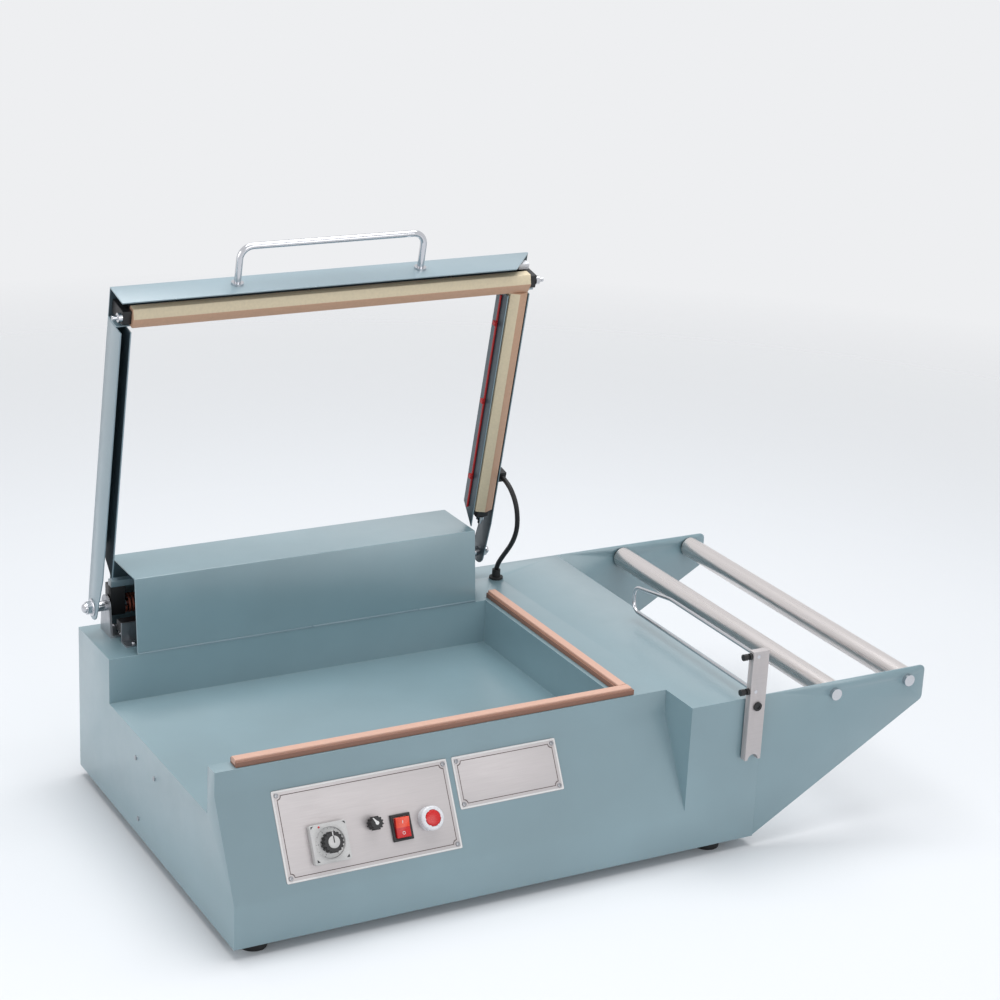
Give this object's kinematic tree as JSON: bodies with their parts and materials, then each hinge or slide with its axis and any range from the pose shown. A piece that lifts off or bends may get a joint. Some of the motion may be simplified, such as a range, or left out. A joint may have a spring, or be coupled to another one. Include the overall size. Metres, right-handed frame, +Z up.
{
  "type": "l bar sealer",
  "caption": "Table-top L bar sealer: sheet-metal base with tray and slanted control panel, sprung L-shaped seal lid with handle, and a film carrier with rollers and a wire film spreader.",
  "frame": {"origin": "on the floor under the middle of the machine, between the undersides of the rubber feet", "axes": "+Z up, -Y towards the operator and the slanted control panel, +X from the loading side towards the film carrier"},
  "size_m": [1.0065, 0.575, 0.7664],
  "materials": {
    "body_paint": "powder-coated sheet steel, blue-grey, satin",
    "lid_paint": "powder-coated sheet steel, blue-grey, satin",
    "plate_alu": "silvery white, satin",
    "zinc_steel": "zinc-plated steel",
    "spring_steel": "oiled spring steel, reddish brown",
    "chrome": "bright plated steel",
    "roller_shell": "drawn steel tube, satin",
    "black_plastic": "black moulded plastic",
    "black_steel": "black oxide",
    "rubber": "black rubber",
    "cable": "black cable sheath",
    "jaw_facing": "beige heat-resistant facing",
    "seal_bar": "brown coated bar",
    "seal_pad": "copper-coloured heat-resistant pad",
    "white_plastic": "white collar",
    "red_plastic": "red",
    "red_lead": "red insulation"
  },
  "bodies": {
    "base": {"base_shell": "body_paint", "bottom_plate": "body_paint", "cable_grommet": "rubber", "carrier_plate_front": "body_paint", "carrier_plate_rear": "body_paint", "control_plate": "plate_alu", "feet": "rubber", "guide_pivot": "black_steel", "hinge_bracket_left": "zinc_steel", "hinge_bracket_right": "zinc_steel", "housing_cover": "body_paint", "label_plate": "plate_alu", "lamp_lens": "red_plastic", "lamp_ring": "white_plastic", "lid_cable": "cable", "lid_switch": "black_plastic", "lower_bar_front": "seal_bar", "lower_bar_right": "seal_bar", "lower_pad_front": "seal_pad", "lower_pad_right": "seal_pad", "mains_gland": "black_plastic", "plate_rivets": "zinc_steel", "return_spring": "spring_steel", "rocker_bezel": "black_plastic", "roller_axles": "chrome", "roller_bolts": "chrome", "side_rivets": "zinc_steel", "switch_bracket": "zinc_steel", "timer_body": "black_plastic"},
    "lid": {"lid_arm_left": "lid_paint", "lid_arm_right": "lid_paint", "lid_front_bar": "lid_paint", "jaw_front": "jaw_facing", "jaw_right": "jaw_facing", "jaw_hangers": "zinc_steel", "handle": "chrome", "handle_feet": "chrome", "wire_terminals": "black_plastic", "tension_bolts": "chrome", "heater_leads": "red_lead", "lead_ties": "red_lead", "hinge_shaft": "chrome", "hinge_nuts": "chrome", "lever_block": "black_plastic", "lever_bar": "lid_paint", "cable_clamp": "black_plastic"},
    "roller_near": {"roller_near_tube": "roller_shell", "roller_near_caps": "black_plastic"},
    "roller_far": {"roller_far_tube": "roller_shell", "roller_far_caps": "black_plastic"},
    "film_guide": {"guide_bar": "plate_alu", "clamp_screws": "black_steel"},
    "film_loop": {"film_wire": "chrome"},
    "timer_dial": {"timer_knob": "black_plastic"},
    "selector": {"small_knob": "black_plastic"},
    "power_rocker": {"rocker": "red_plastic"}
  },
  "joints": [
    {"name": "lid_hinge", "type": "hinge", "parent": "base", "child": "lid", "pos_m": [0, 0.24, 0.258], "axis": [1, 0, 0], "range_deg": [0, 78], "stiffness_Nm_per_rad": 6, "springref_deg": -68.75, "deforming": ["lid_cable"]},
    {"name": "roller_near_spin", "type": "hinge", "parent": "base", "child": "roller_near", "pos_m": [0.352, 0, 0.201], "axis": [0, 1, 0], "continuous": true},
    {"name": "roller_far_spin", "type": "hinge", "parent": "base", "child": "roller_far", "pos_m": [0.472, 0, 0.201], "axis": [0, 1, 0], "continuous": true},
    {"name": "film_guide_swing", "type": "hinge", "parent": "base", "child": "film_guide", "pos_m": [0.22, -0.276, 0.21], "axis": [0, 1, 0], "range_deg": [-30, 40]},
    {"name": "film_loop_slide", "type": "slide", "parent": "film_guide", "child": "film_loop", "axis": [0, 1, 0], "range_m": [-0.15, 0.004]},
    {"name": "timer_dial_turn", "type": "hinge", "parent": "base", "child": "timer_dial", "pos_m": [-0.369, -0.25745, 0.1223], "axis": [0, -0.8738, 0.4863], "range_deg": [-150, 150]},
    {"name": "selector_turn", "type": "hinge", "parent": "base", "child": "selector", "pos_m": [-0.3075, -0.24812, 0.13084], "axis": [0, -0.8738, 0.4863], "range_deg": [-135, 135]},
    {"name": "power_rock", "type": "hinge", "parent": "base", "child": "power_rocker", "pos_m": [-0.271, -0.25172, 0.12026], "axis": [1, 0, 0], "range_deg": [-14, 0]}
  ]
}
